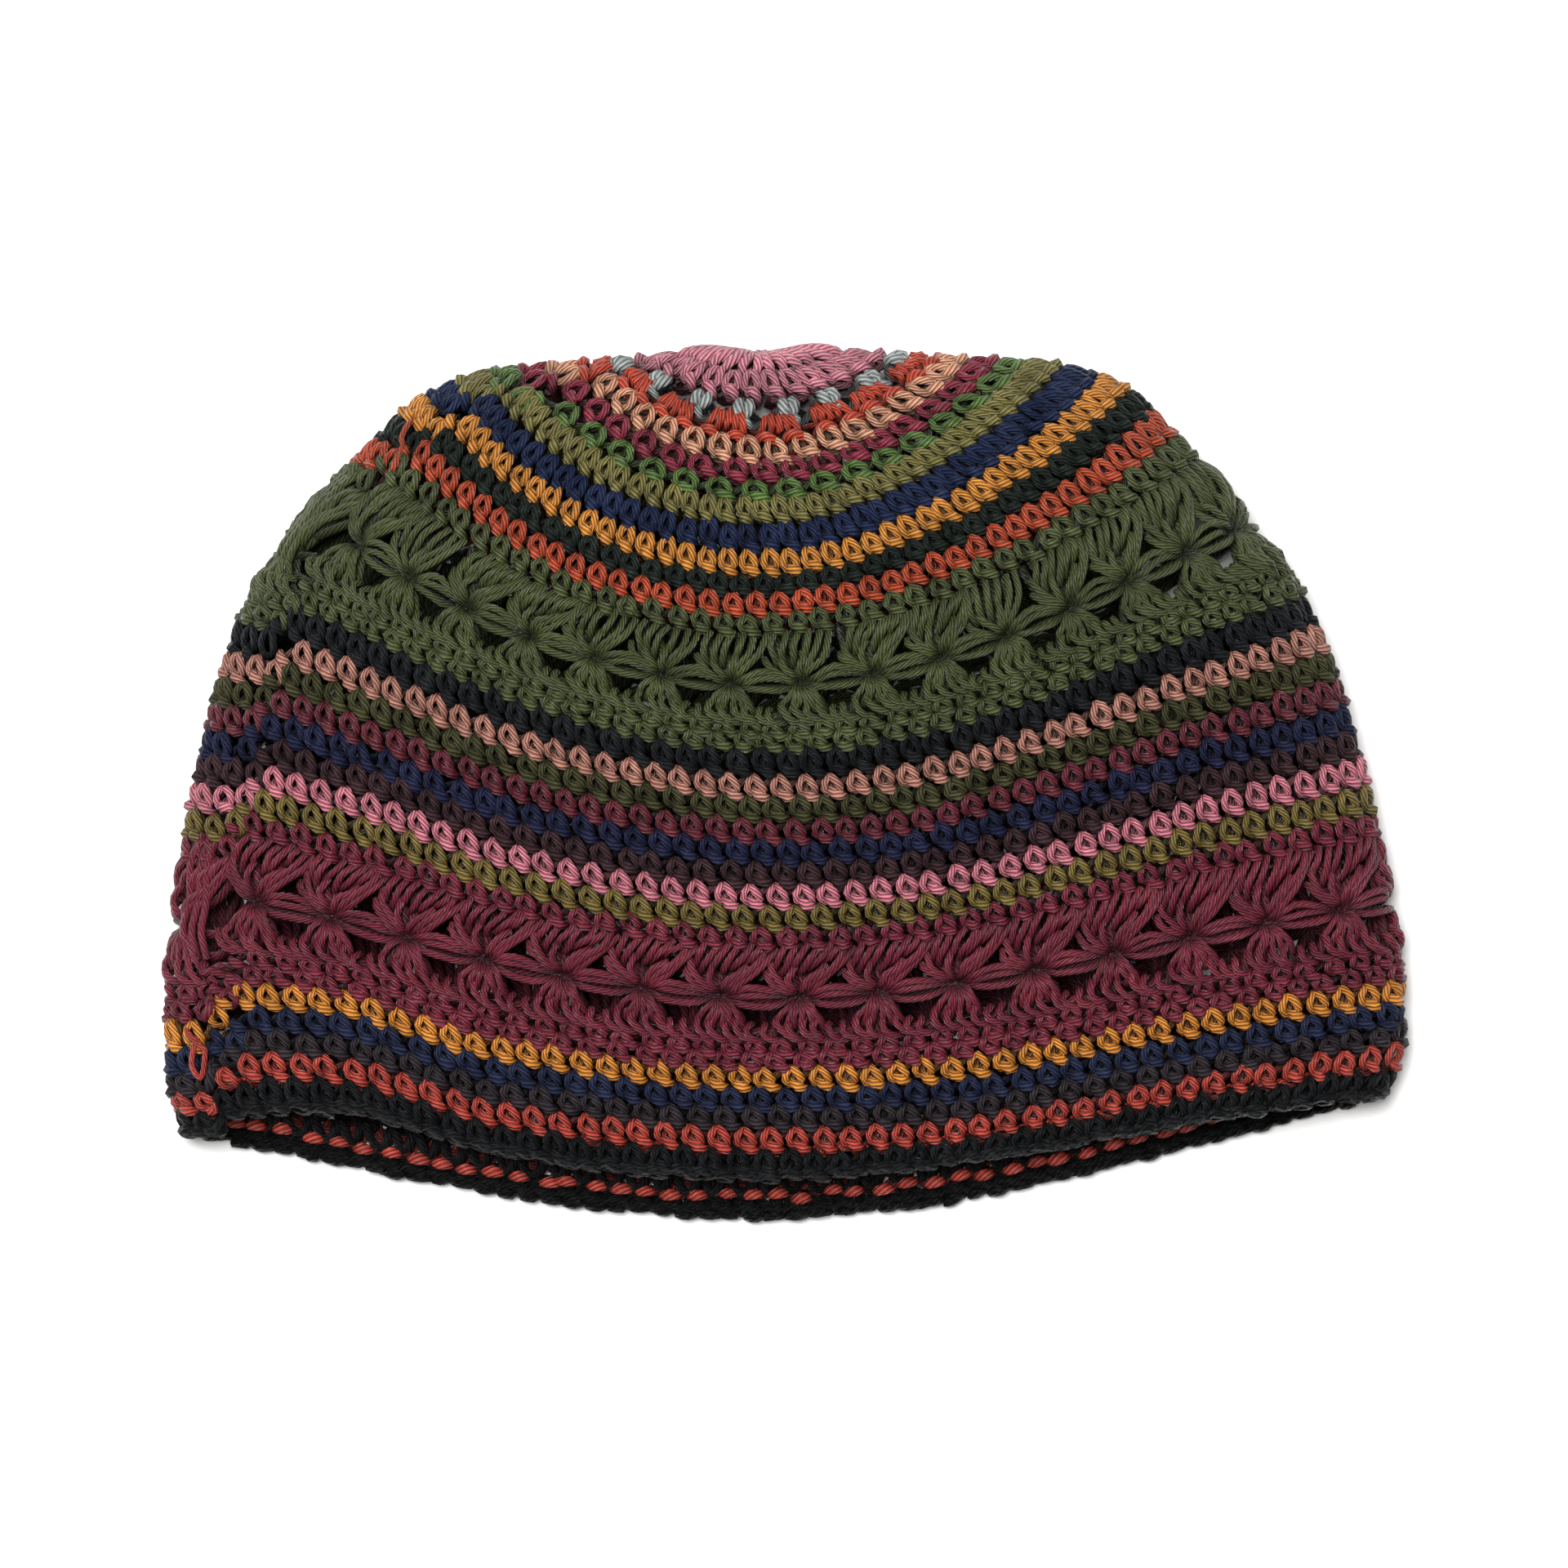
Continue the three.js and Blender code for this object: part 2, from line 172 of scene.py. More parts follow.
def lay_at(levels):
    """Each column of LAY at some levels, on a smooth curve that never swings past its rows."""
    steep = np.diff(LAY[:, 1:], axis=0) / np.diff(LAY[:, :1], axis=0)
    before, after = np.vstack([steep[:1], steep]), np.vstack([steep, steep[-1:]])
    alike = before * after > 0
    slope = np.where(alike, 2 * before * after / np.where(alike, before + after, 1), 0)
    row = np.clip(np.searchsorted(LAY[:, 0], levels, "right") - 1, 0, len(LAY) - 2)
    span = (LAY[row + 1, 0] - LAY[row, 0])[:, None]
    u = (levels - LAY[row, 0])[:, None] / span
    share = u * u * (3 - 2 * u)
    swing = slope[row] * (1 - u) - slope[row + 1] * u
    return LAY[row, 1:] * (1 - share) + LAY[row + 1, 1:] * share + span * swing * u * (1 - u)


def layer(levels, layer_of, shares):
    """Middle of the wall of one layer: rows of levels, and points across from fold to fold."""
    lay = lay_at(levels).T[:, :, None]
    half, shift, fold_y, front_y, front_rise, fold_rise, tilt, swing, fold_turn = lay
    across = np.cos(np.pi * shares)[None, :] * (1 if layer_of == UPPER else -1)
    half = half * HALF_WIDTH
    fold_z = LOW_FOLD + (HIGH_FOLD - LOW_FOLD) * fold_rise
    level = levels[:, None]
    if layer_of == UPPER:
        middle_y, middle_z = -LENGTH * front_y, PUFF * front_rise
    else:  # down round the crown's fold, then flat along the table
        run = level * (LENGTH + (math.pi / 2 - 1) * CROWN_FOLD)
        angle = np.minimum(run / CROWN_FOLD, math.pi / 2)
        middle_y = -CROWN_FOLD * (1 - np.cos(angle)) - (run - CROWN_FOLD * angle)
        middle_z = CROWN_FOLD * (1 - np.sin(angle))
        swing = swing * 0.5
    radius = np.minimum(half, fold_z)
    turn = radius + (half - radius) * fold_turn if layer_of == UPPER else radius
    from_fold = np.minimum((1 - np.abs(across)) * half / np.maximum(turn, 1e-6), 1)
    risen = np.sqrt(1 - (1 - from_fold) ** 2)
    dip = (1 - swing) * across ** 2 + swing * (1 - np.cos(np.pi * across)) / 2
    late = np.clip((level - 0.68) / 0.32, 0, 1)  # the lift starts about two thirds down
    beside = np.clip((across + 0.72) / 0.26, -1, 1)
    lifted = LIFT * late ** 2 * (3 - 2 * late) * np.cos(beside * np.pi / 2) ** 2
    lifted = lifted * (layer_of == UPPER)
    aside = across * half
    x = shift * HALF_WIDTH + aside
    y = middle_y + (-LENGTH * fold_y - middle_y) * dip + tilt * TILT * aside / HALF_WIDTH + lifted
    z = fold_z + (middle_z - fold_z) * risen + lifted + WALL / 2
    return np.stack(np.broadcast_arrays(x, y, z), axis=-1)


def evenly(points, count):
    """Rows of points spaced evenly along each row."""
    step = np.linalg.norm(np.diff(points, axis=1), axis=2)
    run = np.hstack([np.zeros((len(step), 1)), np.cumsum(step, axis=1)])
    rows = []
    for far, row in zip(run, points):
        at = np.linspace(0, far[-1], count + 1)[:-1]
        rows.append(np.stack([np.interp(at, far, row[:, k]) for k in range(3)], axis=-1))
    return np.stack(rows)


# The fabric as a grid of points, from the crown's centre down and once round: first the upper
# layer, from the right fold to the left one, then the lower layer back to the right fold.
AROUND_STEPS, DOWN_STEPS, LAYER_STEPS = 512, 256, 400
down = np.linspace(0, 1, DOWN_STEPS + 1)
down[0] = 1e-4  # the centre is a tiny ring, so that it has a direction outwards
shares = np.linspace(0, 1, LAYER_STEPS + 1)
cloth = np.hstack([
    evenly(layer(down, side, shares), AROUND_STEPS // 2) for side in (UPPER, LOWER)])
along = np.roll(cloth, -1, axis=1) - np.roll(cloth, 1, axis=1)
outward = np.cross(along, np.gradient(cloth, axis=0))
outward /= np.maximum(np.linalg.norm(outward, axis=2, keepdims=True), 1e-9)
outward[:3] = (0, 1, 0.15)  # the centre faces away from the rim, in the crown's fold
shell = cloth + outward * WALL / 2
middle = (shell.reshape(-1, 3).min(0) + shell.reshape(-1, 3).max(0)) / 2
frame_middle = 1000 * (np.array(cad_box[0]) + np.array(cad_box[1])) / 2
cloth[:, :, :2] += (frame_middle - middle)[:2]

# The rounds sway a little where they lie: shifts in rounds (above 0 towards the crown), with a row
# for some of the rounds and a column for some shares of the way round from the seam.
SWAY_AROUND = (0, 0.06, 0.12, 0.2, 0.3, 0.4, 0.48, 0.6, 0.92, 1)
SWAY_ROUNDS = (0, 5.8, 9.3, 11.2, 13, 17, 21.5, 26.5, 31, 35, 38, 39.8)
SWAY = (
    (0, 0, 0, 0, 0, 0, 0, 0, 0, 0),
    (0.4, 0.45, 0.38, 0.15, -0.05, 0.15, 0.1, 0, 0, 0.2),
    (0.45, 0.7, 0.65, 0.2, -0.08, -0.15, -0.1, 0, 0, 0.2),
    (0.2, 0.55, 0.7, 0.48, 0.08, -0.05, -0.1, 0, 0, 0.1),
    (-0.25, 0.05, 0.48, 0.4, -0.04, -0.12, -0.3, 0, 0, -0.1),
    (-0.8, -0.35, -0.05, 0.05, 0, -0.3, -0.3, 0, 0, -0.4),
    (-0.33, -0.16, 0.16, 0.1, 0.3, 0.05, -0.07, 0, 0, -0.2),
    (-0.5, -0.48, -0.09, -0.04, 0.05, -0.08, 0.04, 0, 0, -0.3),
    (-0.6, -0.4, -0.15, 0, 0, 0, 0.1, 0, 0, -0.3),
    (-0.82, -0.66, -0.25, -0.02, -0.02, -0.38, -0.5, 0, 0, -0.3),
    (-1.27, -1.03, -0.55, -0.22, -0.03, -0.55, -0.95, -0.1, 0, -0.1),
    (-0.8, -0.7, -0.35, 0, 0, 0, 0, 0, 0, 0),
)
for turn in range(AROUND_STEPS):
    around = (SEAM - turn / AROUND_STEPS) % 1
    swayed = [np.interp(around, SWAY_AROUND, row) for row in SWAY]
    at = down + np.interp(down * ROUNDS, SWAY_ROUNDS, swayed) / ROUNDS
    for grid in (cloth, outward):
        grid[:, turn] = np.stack([np.interp(at, down, part) for part in grid[:, turn].T], axis=1)


def on_cap(around, rounds, height):
    """Points on the cap, in mm: share of the way round from the seam, rounds from the crown's
    centre, and height over the middle of the wall. The rounds are one long spiral, which begins
    and ends softly, and a round lies at its own number about a quarter of the way round."""
    spiral = np.clip(rounds / 6, 0, 1) * np.clip((ROUNDS - rounds) / 3.5, 0, 1)
    turn = (SEAM - around) % 1 * AROUND_STEPS
    level = np.maximum(rounds + (around - 0.23) * spiral, 0) / ROUNDS * DOWN_STEPS
    i, j = np.floor(turn).astype(int), np.clip(np.floor(level).astype(int), 0, DOWN_STEPS - 1)
    a, b = (turn - i)[:, None], (level - j)[:, None]
    i, i_next = i % AROUND_STEPS, (i + 1) % AROUND_STEPS

    def between(grid):
        return ((grid[j, i] * (1 - a) + grid[j, i_next] * a) * (1 - b)
                + (grid[j + 1, i] * (1 - a) + grid[j + 1, i_next] * a) * b)

    normal = between(outward)
    normal /= np.linalg.norm(normal, axis=1, keepdims=True)
    return between(cloth) + normal * height[:, None]


def smooth_run(corners, count):
    """A smooth run through the corners, as count points spaced evenly along it."""
    ends = np.vstack([2 * corners[0] - corners[1], corners, 2 * corners[-1] - corners[-2]])
    t = np.linspace(0, 1, 6)[:-1, None, None]
    a, b, c, d = ends[:-3], ends[1:-2], ends[2:-1], ends[3:]
    fine = 0.5 * (2 * b + (c - a) * t + (2 * a - 5 * b + 4 * c - d) * t ** 2
                  + (3 * b - a - 3 * c + d) * t ** 3)
    fine = np.vstack([fine.transpose(1, 0, 2).reshape(-1, corners.shape[1]), corners[-1:]])
    far = np.concatenate([[0], np.cumsum(np.linalg.norm(np.diff(fine[:, :3], axis=0), axis=1))])
    at = np.linspace(0, far[-1], count)
    return np.stack([np.interp(at, far, fine[:, k]) for k in range(fine.shape[1])], axis=-1)


YARN = 1.75  # thickness of the yarn
YARN_SIDES = 6  # sides of its mesh
# Painted light by how openly the yarn lies, at some heights over the middle of the wall: 0 is the
# darkest painted shade deep in the fabric, 1 the full colour. The inside is open too.
PAINTED_LIGHT_AT = ((-2.0, 1), (-1.5, 0), (-0.4, 0), (1.1, 1))


def lay_yarn(name, runs):
    """Yarn laid along each run of points (x, y, z in mm, thickness, and height over the middle of
    the wall), as one mesh. Its UV map counts millimetres along the yarn and one turn round it, and
    its attribute is painted light by how openly the yarn lies: 0 is painted shade deep in the
    fabric and 1 the full colour on its face."""
    curve = bpy.data.curves.new(name, "CURVE")
    curve.dimensions, curve.twist_mode, curve.use_fill_caps = "3D", "MINIMUM", True
    curve.bevel_depth, curve.bevel_resolution = YARN / 2000, YARN_SIDES // 2 - 2
    for run in runs:
        run = run.copy()
        run[:, 2] = np.maximum(run[:, 2], run[:, 3] * YARN / 2)  # it lies on the table
        spline = curve.splines.new("POLY")
        spline.points.add(len(run) - 1)
        metres = np.hstack([run[:, :3] / 1000, np.ones((len(run), 1))])
        spline.points.foreach_set("co", metres.ravel())
        spline.points.foreach_set("radius", run[:, 3])
    piece = bpy.data.objects.new(name, curve)
    bpy.context.collection.objects.link(piece)
    bpy.ops.object.select_all(action="DESELECT")
    piece.select_set(True)
    bpy.context.view_layer.objects.active = piece
    bpy.ops.object.convert(target="MESH")
    piece = bpy.context.object
    piece.name = name
    # The mesh has the points of the runs' two ends first, then those along each run.
    lengths = [np.linalg.norm(np.diff(run[:, :3], axis=0), axis=1).sum() for run in runs]
    counts = [2 * YARN_SIDES * len(runs)] + [YARN_SIDES * len(run) for run in runs]
    lengths = np.repeat([1] + lengths, counts)
    point, uv = np.empty(len(piece.data.loops), int), np.empty(2 * len(piece.data.loops))
    piece.data.loops.foreach_get("vertex_index", point)
    piece.data.uv_layers[0].uv.foreach_get("vector", uv)
    uv[::2] *= lengths[point]
    piece.data.uv_layers[0].uv.foreach_set("vector", uv)
    # Painted light by each point's height in the wall: yarn deep between the stitches gets painted
    # shade.
    heights = [run[[0, -1], 4] for run in runs] + [run[:, 4] for run in runs]
    heights = np.repeat(np.concatenate(heights), YARN_SIDES)
    painted_light = piece.data.attributes.new("painted_light", "FLOAT", "POINT")
    painted_light.data.foreach_set("value", np.interp(heights, *zip(*PAINTED_LIGHT_AT)))
    piece.data.shade_smooth()
    return piece


# One single crochet. Each corner of the yarn's way is: how far along in stitches, how far down in
# rounds, height over the middle of the wall in mm, and thickness.
SINGLE_CROCHET = np.array([
    (0.2, 0.62, 0.0, 0.9),  # up through the last stitch's arch
    (0.31, 0.76, 0.85, 1.15),
    (0.45, 0.84, 1.4, 1.42),  # the plump front strand of the top loop
    (0.58, 0.9, 1.35, 1.42),
    (0.7, 0.98, 0.6, 1.1),
    (0.84, 1.02, -0.2, 0.9),
    (0.8, 1.04, -0.95, 1.0),  # the back strand of the top loop
    (0.45, 1.0, -1.15, 1.0),
    (0.25, 0.82, -1.2, 1.0),
    (0.75, 0.42, -1.3, 1.0),
    (1.2, 0.06, -0.3, 0.85),  # out through the stitch above
    (1.19, 0.03, 0.85, 0.92),
    (1.07, 0.2, 1.25, 0.94),  # left leg
    (1.0, 0.42, 1.2, 0.94),
    (1.05, 0.66, 0.8, 0.94),
    (1.2, 0.84, 0.1, 0.88),
    (1.42, 0.86, -0.1, 0.85),
    (1.64, 0.74, 0.5, 0.95),
    (1.66, 0.56, 1.0, 1.0),  # right leg
    (1.55, 0.32, 1.35, 1.05),
    (1.4, 0.11, 1.25, 1.0),
    (1.3, 0.02, 0.7, 0.92),
    (1.28, 0.02, -0.4, 0.85),  # in through the stitch above
    (1.36, 0.35, -1.1, 1.0),
    (1.3, 0.55, -0.7, 0.95),
])
POINTS_A_STITCH = 24
hand = np.random.default_rng(20)  # the small unevenness of handwork


def crochet_round(stitch, count, top, tall, shift=0.0, points=POINTS_A_STITCH, loose=0.035):
    """One round of a stitch, as a run of yarn from the seam round to the seam. It hangs in the
    round above at the rounds top, and is tall rounds high."""
    place = np.repeat(np.arange(count), len(stitch))
    wobble = hand.normal(0, loose, (count, 4))[place] * (1, 1, 2, 1)
    corners = np.tile(stitch, (count, 1)) + wobble
    across = place + corners[:, 0]
    around = (across + shift) / count
    spots = on_cap(around, top + corners[:, 1] * tall, corners[:, 2])
    run = np.column_stack([spots, corners[:, 3], corners[:, 2]])
    return smooth_run(run, count * points)


PLY_PITCH = 1.6  # from groove to groove along the yarn
SHINE, DARK_SHINE = 0.4, 0.12  # the dark yarns are nearly matt


def cotton(name, hex_colour, shine=SHINE):
    """Mercerised cotton yarn: slanted grooves between its plies, with painted shade in them, finer
    fibres along them, a soft sheen, slightly uneven dye, and painted shade where it lies deep in
    the fabric."""
    material, tree = new_material(name)
    colour = linear(hex_colour)
    on_yarn = add_node(tree, "ShaderNodeUVMap")
    parts = add_node(tree, "ShaderNodeSeparateXYZ", {0: on_yarn.outputs["UV"]})
    plies = add_node(tree, "ShaderNodeMath", {0: parts.outputs["Y"], 1: 6.0}, operation="MULTIPLY")
    twist = add_node(tree, "ShaderNodeMath", {
        0: parts.outputs["X"], 1: 1 / PLY_PITCH, 2: plies.outputs[0]}, operation="MULTIPLY_ADD")
    angle = add_node(tree, "ShaderNodeMath", {
        0: twist.outputs[0], 1: 2 * math.pi}, operation="MULTIPLY")
    wave = add_node(tree, "ShaderNodeMath", {0: angle.outputs[0]}, operation="SINE")
    ply = add_node(tree, "ShaderNodeMapRange", {
        "Value": wave.outputs[0], "From Min": -1.0, "From Max": 0.5})
    fibre_place = add_node(tree, "ShaderNodeCombineXYZ", {
        "X": parts.outputs["X"], "Y": twist.outputs[0]})
    fibre_way = add_node(tree, "ShaderNodeMapping", {
        "Vector": fibre_place.outputs[0], "Scale": (0.25, 5.0, 1.0)})
    fibre = add_node(tree, "ShaderNodeTexNoise", {
        "Vector": fibre_way.outputs[0], "Scale": 3.0, "Detail": 3.0, "Roughness": 0.7})
    place = add_node(tree, "ShaderNodeTexCoord")
    dye = add_node(tree, "ShaderNodeTexNoise", {
        "Vector": place.outputs["Object"], "Scale": 160.0, "Detail": 2.0})
    worn = add_node(tree, "ShaderNodeMath", {
        0: fibre.outputs["Fac"], 1: 0.6, 2: dye.outputs["Fac"]}, operation="MULTIPLY_ADD")
    uneven = add_node(tree, "ShaderNodeMapRange", {
        "Value": worn.outputs[0], "From Min": 0.5, "From Max": 1.1, "To Min": 0.0, "To Max": 1.0})
    body = add_node(tree, "ShaderNodeMix", {
        "Factor": uneven.outputs[0],
        "A": [c * 0.6 for c in colour[:3]] + [1],
        "B": [min(c * 1.25 + 0.008, 1) for c in colour[:3]] + [1]}, data_type="RGBA")
    # Painted shade in the grooves between the plies, down to 0.3 of the colour; the bump below
    # gives their relief.
    painted_groove_shade = add_node(tree, "ShaderNodeMapRange", {
        "Value": ply.outputs[0], "To Min": 0.3, "To Max": 1.0})
    # Painted shade deep in the fabric, down to a fifth of the colour. dark holds it together with
    # the grooves' painted shade.
    painted_light_node = add_node(tree, "ShaderNodeAttribute", attribute_name="painted_light")
    painted_deep_shade = add_node(tree, "ShaderNodeMapRange", {
        "Value": painted_light_node.outputs["Fac"], "To Min": 0.2, "To Max": 1.0})
    dark = add_node(tree, "ShaderNodeMath", {
        0: painted_groove_shade.outputs[0], 1: painted_deep_shade.outputs[0]}, operation="MULTIPLY")
    shade = add_node(tree, "ShaderNodeMix", {
        "Factor": 1.0, "A": body.outputs["Result"], "B": dark.outputs[0]},
        data_type="RGBA", blend_type="MULTIPLY")
    relief = add_node(tree, "ShaderNodeMath", {
        0: fibre.outputs["Fac"], 1: 0.4, 2: ply.outputs[0]}, operation="MULTIPLY_ADD")
    bump = add_node(tree, "ShaderNodeBump", {
        "Height": relief.outputs[0], "Distance": 0.00035, "Strength": 1.0})
    yarn = add_node(tree, "ShaderNodeBsdfPrincipled", {
        "Base Color": shade.outputs["Result"], "Roughness": 0.38, "IOR": 1.53,
        "Specular IOR Level": shine, "Sheen Weight": 0.01, "Sheen Roughness": 0.4,
        "Normal": bump.outputs["Normal"]})
    add_node(tree, "ShaderNodeOutputMaterial", {"Surface": yarn.outputs["BSDF"]})
    return material


def finish_piece(piece, node, material):
    """Gives a piece of yarn its material, and lets it stand for its CAD solid."""
    piece.data.materials.append(material)
    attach(piece, "root")
    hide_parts(node)


# Node, yarn, colour, and its courses: stitches round, first round, and height in rounds.
PLAIN_ROUNDS = [
    ("wine_crown_round", "wine cotton yarn", "8a2238", [(37, 6.4, 1.0)]),
    ("leaf_green_round", "leaf green cotton yarn", "53702f", [(37, 7.35, 0.95)]),
    ("khaki_round", "khaki cotton yarn", "7a7238", [(80, 8.2, 1.12)]),
    ("navy_crown_round", "navy cotton yarn", "1c294b", [(82, 9.35, 1.05)]),
    ("gold_crown_round", "gold cotton yarn", "d68a30", [(85, 10.35, 1.0)]),
    ("bottle_green_round", "bottle green cotton yarn", "18221c", [(85, 11.35, 1.0)]),
    ("orange_round", "orange cotton yarn", "ba4723", [(85, 12.35, 1.1)]),
    ("black_round", "black cotton yarn", "14171b", [(96, 19.8, 1.2)]),
    ("salmon_round", "salmon cotton yarn", "bc806e", [(96, 21.0, 1.0)]),
    ("moss_round", "moss green cotton yarn", "454427", [(96, 22.0, 1.0)]),
    ("wine_side_round", "wine cotton yarn", "681b2a", [(96, 23.0, 1.0)]),
    ("navy_side_round", "navy cotton yarn", "1e2243", [(96, 24.0, 1.0)]),
    ("brown_round", "dark brown cotton yarn", "3e262b", [(96, 25.0, 1.0)]),
    ("pink_round", "pink cotton yarn", "d67b8a", [(96, 26.0, 1.0)]),
    ("olive_round", "olive cotton yarn", "7b682b", [(96, 27.0, 1.0)]),
    ("gold_rim_round", "gold cotton yarn", "dd8b2e", [(96, 34.6, 1.0)]),
    ("navy_rim_round", "navy cotton yarn", "232a47", [(96, 35.6, 1.0)]),
    ("charcoal_round", "charcoal cotton yarn", "322a2f", [(96, 36.6, 1.0)]),
    ("red_rim_round", "vermilion cotton yarn", "bd4233", [(96, 37.6, 1.0)]),
    ("black_rim_edge", "black cotton yarn", "0d0f12", [(96, 38.6, 1.1)]),
]
# The black yarn is also whipped over the rim's edge, and floats over the red round on the inside.
RIM_WHIP = np.array([
    (0.0, 1.0, -0.8, 1.1), (0.3, 0.86, 0.7, 1.1), (0.7, 0.8, 1.2, 1.2), (1.05, 0.95, 0.9, 1.1),
    (1.15, 1.06, -0.2, 1.0), (0.8, 1.08, -1.2, 1.1), (0.35, 1.02, -1.4, 1.1),
])
# A thick chain of it closes the edge from the inside.
RIM_CHAIN = np.array([
    (0.0, 0.7, -0.4, 1.4), (0.25, 0.76, -0.7, 1.7), (0.5, 0.7, -0.9, 1.4), (0.75, 0.74, -0.6, 1.7),
])
RIM_FLOAT = np.array([
    (0.0, 0.2, -1.9, 1.2), (0.14, -0.4, -2.4, 1.35), (0.3, -0.95, -2.0, 1.2),
    (0.46, -0.4, -2.5, 1.35), (0.62, 0.15, -2.0, 1.2), (0.82, 0.3, -1.9, 1.1),
])
# The red yarn shows there between the floats, as one plump strand a stitch.
RED_BACK = np.array([
    (0.0, 0.1, -0.8, 0.8), (0.2, 0.03, -2.1, 1.25), (0.42, 0.0, -2.6, 1.6), (0.64, 0.08, -2.2, 1.3),
    (0.84, 0.1, -0.8, 0.8),
])
# Loose ends at the seam, as points on the cap: share of the way round, rounds and height.
LOOSE_ENDS = {
    "red_rim_round": [
        (-0.01, 35.8, 0.5), (-0.0065, 36.0, 2.6), (-0.0015, 36.4, 3.0), (0.0005, 37.0, 2.8),
        (-0.002, 37.5, 2.4), (-0.005, 37.1, 2.8), (-0.0045, 36.5, 2.6), (-0.0035, 36.1, 1.2)],
    "orange_round": [
        (0.0, 12.2, 0.8), (0.004, 12.5, 2.6), (0.0075, 13.0, 2.8), (0.0105, 13.2, 2.2),
        (0.012, 13.8, 0.5)],
}
LOOSE_END = 0.75  # thickness of a loose end, as a share of YARN
FULL_STITCH = SINGLE_CROCHET * (1, 1, 0.85, 1.08)  # the dark yarns are fuller, and lie flatter
FULL_YARNS = ("navy", "black", "bottle green", "charcoal", "dark brown", "moss green")
STAGGER = 0.26  # how far a round's stitches stand back from those above, in stitches
for number, (node, yarn_name, colour, courses) in enumerate(PLAIN_ROUNDS):
    full = yarn_name.startswith(FULL_YARNS)
    runs = [crochet_round(FULL_STITCH if full else SINGLE_CROCHET, count, top, tall,
                          shift=-STAGGER * number % 1, loose=0.06 if full else 0.04)
            for count, top, tall in courses]
    if node == "black_rim_edge":
        runs.append(crochet_round(RIM_WHIP, 110, 38.7, 1.0, points=11, loose=0.06))
        runs.append(crochet_round(RIM_CHAIN, 96, 38.7, 1.0, points=5, loose=0.03))
        runs.append(crochet_round(RIM_FLOAT, 96, 38.25, 1.0, points=9, loose=0.08))
    if node == "red_rim_round":
        runs.append(crochet_round(RED_BACK, 96, 38.7, 1.0, points=9, loose=0.08))
    if node in LOOSE_ENDS:
        end = np.array(LOOSE_ENDS[node])
        end = np.column_stack([on_cap(*end.T), np.full(len(end), LOOSE_END), end[:, 2]])
        runs.append(smooth_run(end, 6 * len(end)))
    yarn = cotton(f"{yarn_name}, {node}", colour, DARK_SHINE if full else SHINE)
    finish_piece(lay_yarn(node + "_yarn", runs), node, yarn)


# ------------------------------------------------------------------ The two bands of wheels
# Openwork bands in one yarn each, of green and of wine cotton: a plain round, a round of wheels,
# and two plain rounds. A wheel is a fan of tall stitches drawn together in one hole, with a second
# fan hooked into the same hole from below, and eyelets between two wheels.

# Each strand of a wheel, from its hole outwards: across in wheels, up (below 0) or down in heights
# of the fan, and height over the middle of the wall in mm. First the petals, which are drawn up
# from the hole, then the twisted strands over them, and those that run across to the next wheel.
WINE_FAN = [
    [(-0.05, -0.04, -1.6), (-0.18, -0.12, 0.6), (-0.32, -0.27, 1.3), (-0.42, -0.38, 1.2),
     (-0.44, -0.5, 0.1)],
    [(-0.04, -0.06, -1.6), (-0.13, -0.16, 0.8), (-0.26, -0.34, 1.5), (-0.35, -0.5, 1.5),
     (-0.38, -0.72, 0.3)],
    [(-0.02, -0.08, -1.6), (-0.09, -0.2, 0.9), (-0.14, -0.36, 1.6), (-0.12, -0.5, 1.5),
     (-0.08, -0.64, 0.3)],
    [(-0.34, -0.5, -0.2), (-0.31, -0.66, 1.0), (-0.26, -0.82, 1.6), (-0.18, -1.0, 0.4)],
    [(-0.24, -0.42, -0.2), (-0.2, -0.6, 1.1), (-0.13, -0.8, 1.7), (-0.02, -1.0, 0.4)],
    [(-0.1, -0.52, -0.2), (-0.05, -0.66, 1.1), (0.02, -0.82, 1.7), (0.13, -1.0, 0.4)],
    [(0.02, -0.46, -0.2), (0.08, -0.6, 1.1), (0.16, -0.79, 1.8), (0.28, -1.0, 0.4)],
    [(0.12, -0.52, -0.2), (0.2, -0.66, 1.2), (0.3, -0.82, 1.8), (0.42, -1.0, 0.4)],
    [(0.3, -0.66, -0.2), (0.37, -0.76, 1.2), (0.46, -0.88, 1.6), (0.54, -1.0, 0.4)],
    [(0.0, -0.08, -1.6), (0.03, -0.22, 1.0), (0.1, -0.37, 1.7), (0.21, -0.5, 1.7),
     (0.33, -0.62, 0.6)],
    [(0.03, -0.07, -1.6), (0.1, -0.22, 0.9), (0.22, -0.4, 1.6), (0.35, -0.54, 1.8),
     (0.5, -0.73, 1.7), (0.62, -0.98, 0.4)],
    [(0.04, -0.05, -1.6), (0.13, -0.17, 0.7), (0.26, -0.32, 1.3), (0.38, -0.46, 1.4),
     (0.54, -0.66, 1.4), (0.72, -0.92, 0.2)],
    [(0.05, -0.03, -1.6), (0.17, -0.13, 0.8), (0.4, -0.22, 1.5), (0.62, -0.18, 1.3),
     (0.93, -0.03, -1.6)],
    [(0.05, -0.02, -1.6), (0.2, -0.03, 0.6), (0.42, -0.07, 1.0), (0.64, -0.08, 0.8),
     (0.94, -0.01, -1.6)],
    [(0.05, 0.02, -1.6), (0.22, 0.12, 0.6), (0.45, 0.16, 1.1), (0.7, 0.14, 0.8),
     (0.94, 0.03, -1.6)],
]
